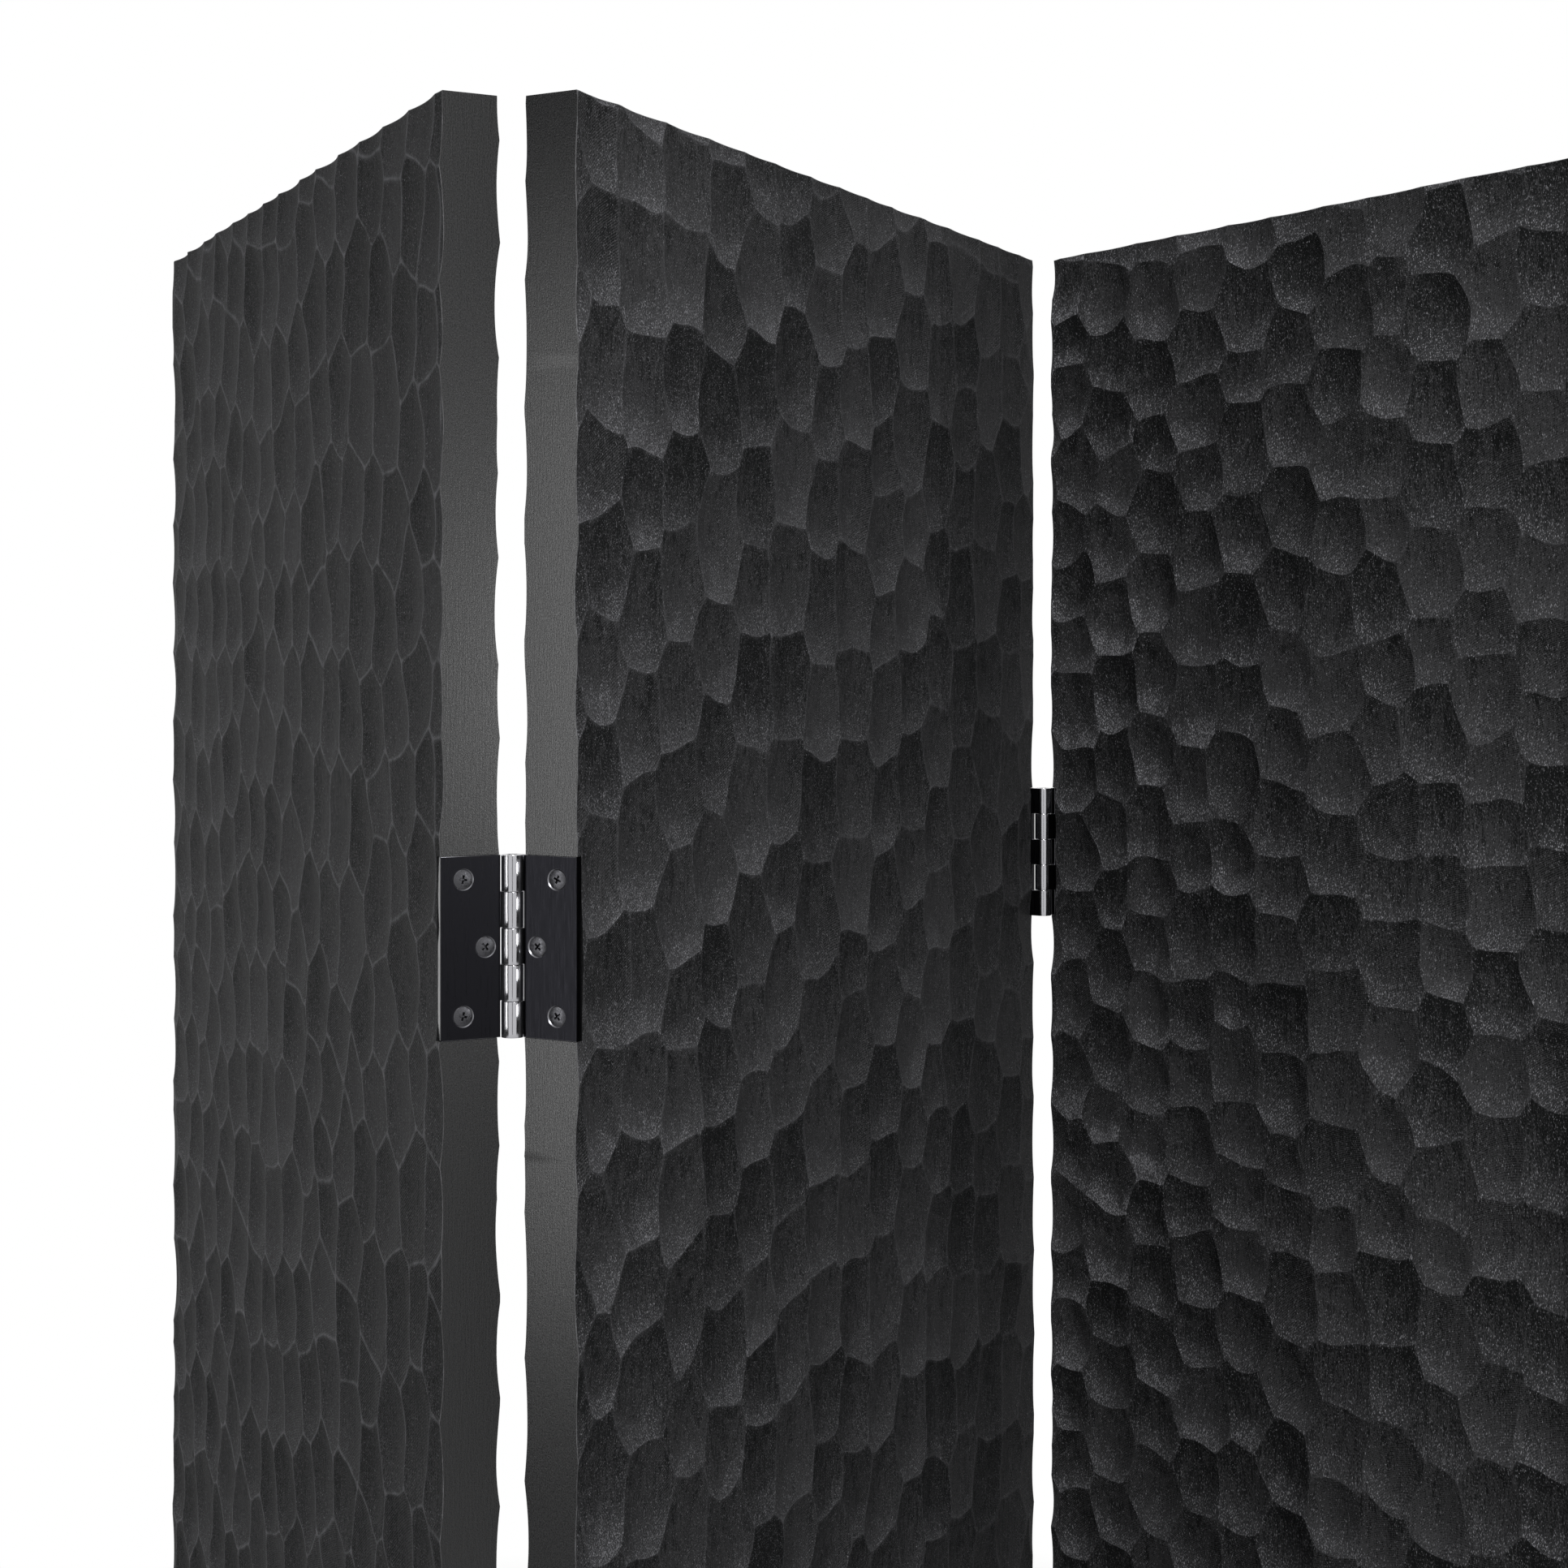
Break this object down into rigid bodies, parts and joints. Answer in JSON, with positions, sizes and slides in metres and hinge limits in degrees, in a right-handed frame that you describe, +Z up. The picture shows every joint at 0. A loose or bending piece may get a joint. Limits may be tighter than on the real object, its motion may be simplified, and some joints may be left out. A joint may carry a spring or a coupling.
{
  "type": "room divider",
  "caption": "Free-standing folding room divider of solid wood panels with hand-gouged faces, joined in a zigzag by mortised butt hinges.",
  "frame": {"origin": "centre of the centre panel's bottom face, on the floor", "axes": "+Z up, +X along the centre panel towards the right hinge line, -Y out of the centre panel's front face"},
  "size_m": [0.563, 0.9306, 1.829],
  "materials": {
    "stained_wood": "black stained, gouge carved on both faces, planed smooth on the edges",
    "hinge_leaves": "black nickel plated, polished barrel",
    "hinge_pins": "bright drawn",
    "screws": "blackened, worn bright at the rims"
  },
  "bodies": {
    "center_panel": {"center_panel_board_1": "stained_wood", "center_panel_board_2": "stained_wood", "center_panel_board_3": "stained_wood", "center_panel_board_4": "stained_wood", "center_panel_board_5": "stained_wood", "left_top_hinge_center_leaf": "hinge_leaves", "left_top_hinge_pin": "hinge_pins", "left_top_hinge_center_screws": "screws", "left_middle_hinge_center_leaf": "hinge_leaves", "left_middle_hinge_pin": "hinge_pins", "left_middle_hinge_center_screws": "screws", "left_bottom_hinge_center_leaf": "hinge_leaves", "left_bottom_hinge_pin": "hinge_pins", "left_bottom_hinge_center_screws": "screws", "right_top_hinge_center_leaf": "hinge_leaves", "right_top_hinge_pin": "hinge_pins", "right_top_hinge_center_screws": "screws", "right_middle_hinge_center_leaf": "hinge_leaves", "right_middle_hinge_pin": "hinge_pins", "right_middle_hinge_center_screws": "screws", "right_bottom_hinge_center_leaf": "hinge_leaves", "right_bottom_hinge_pin": "hinge_pins", "right_bottom_hinge_center_screws": "screws"},
    "left_panel": {"left_panel_board_1": "stained_wood", "left_panel_board_2": "stained_wood", "left_panel_board_3": "stained_wood", "left_panel_board_4": "stained_wood", "left_panel_board_5": "stained_wood", "left_top_hinge_side_leaf": "hinge_leaves", "left_top_hinge_side_screws": "screws", "left_middle_hinge_side_leaf": "hinge_leaves", "left_middle_hinge_side_screws": "screws", "left_bottom_hinge_side_leaf": "hinge_leaves", "left_bottom_hinge_side_screws": "screws"},
    "right_panel": {"right_panel_board_1": "stained_wood", "right_panel_board_2": "stained_wood", "right_panel_board_3": "stained_wood", "right_panel_board_4": "stained_wood", "right_panel_board_5": "stained_wood", "right_top_hinge_side_leaf": "hinge_leaves", "right_top_hinge_side_screws": "screws", "right_middle_hinge_side_leaf": "hinge_leaves", "right_middle_hinge_side_screws": "screws", "right_bottom_hinge_side_leaf": "hinge_leaves", "right_bottom_hinge_side_screws": "screws"}
  },
  "joints": [
    {"name": "left_fold", "type": "hinge", "parent": "center_panel", "child": "left_panel", "pos_m": [-0.255, 0.0185, 0.9145], "axis": [0, 0, 1], "range_deg": [-54, 126]},
    {"name": "right_fold", "type": "hinge", "parent": "center_panel", "child": "right_panel", "pos_m": [0.255, -0.0185, 0.9145], "axis": [0, 0, 1], "range_deg": [-61.6, 118.4]}
  ]
}
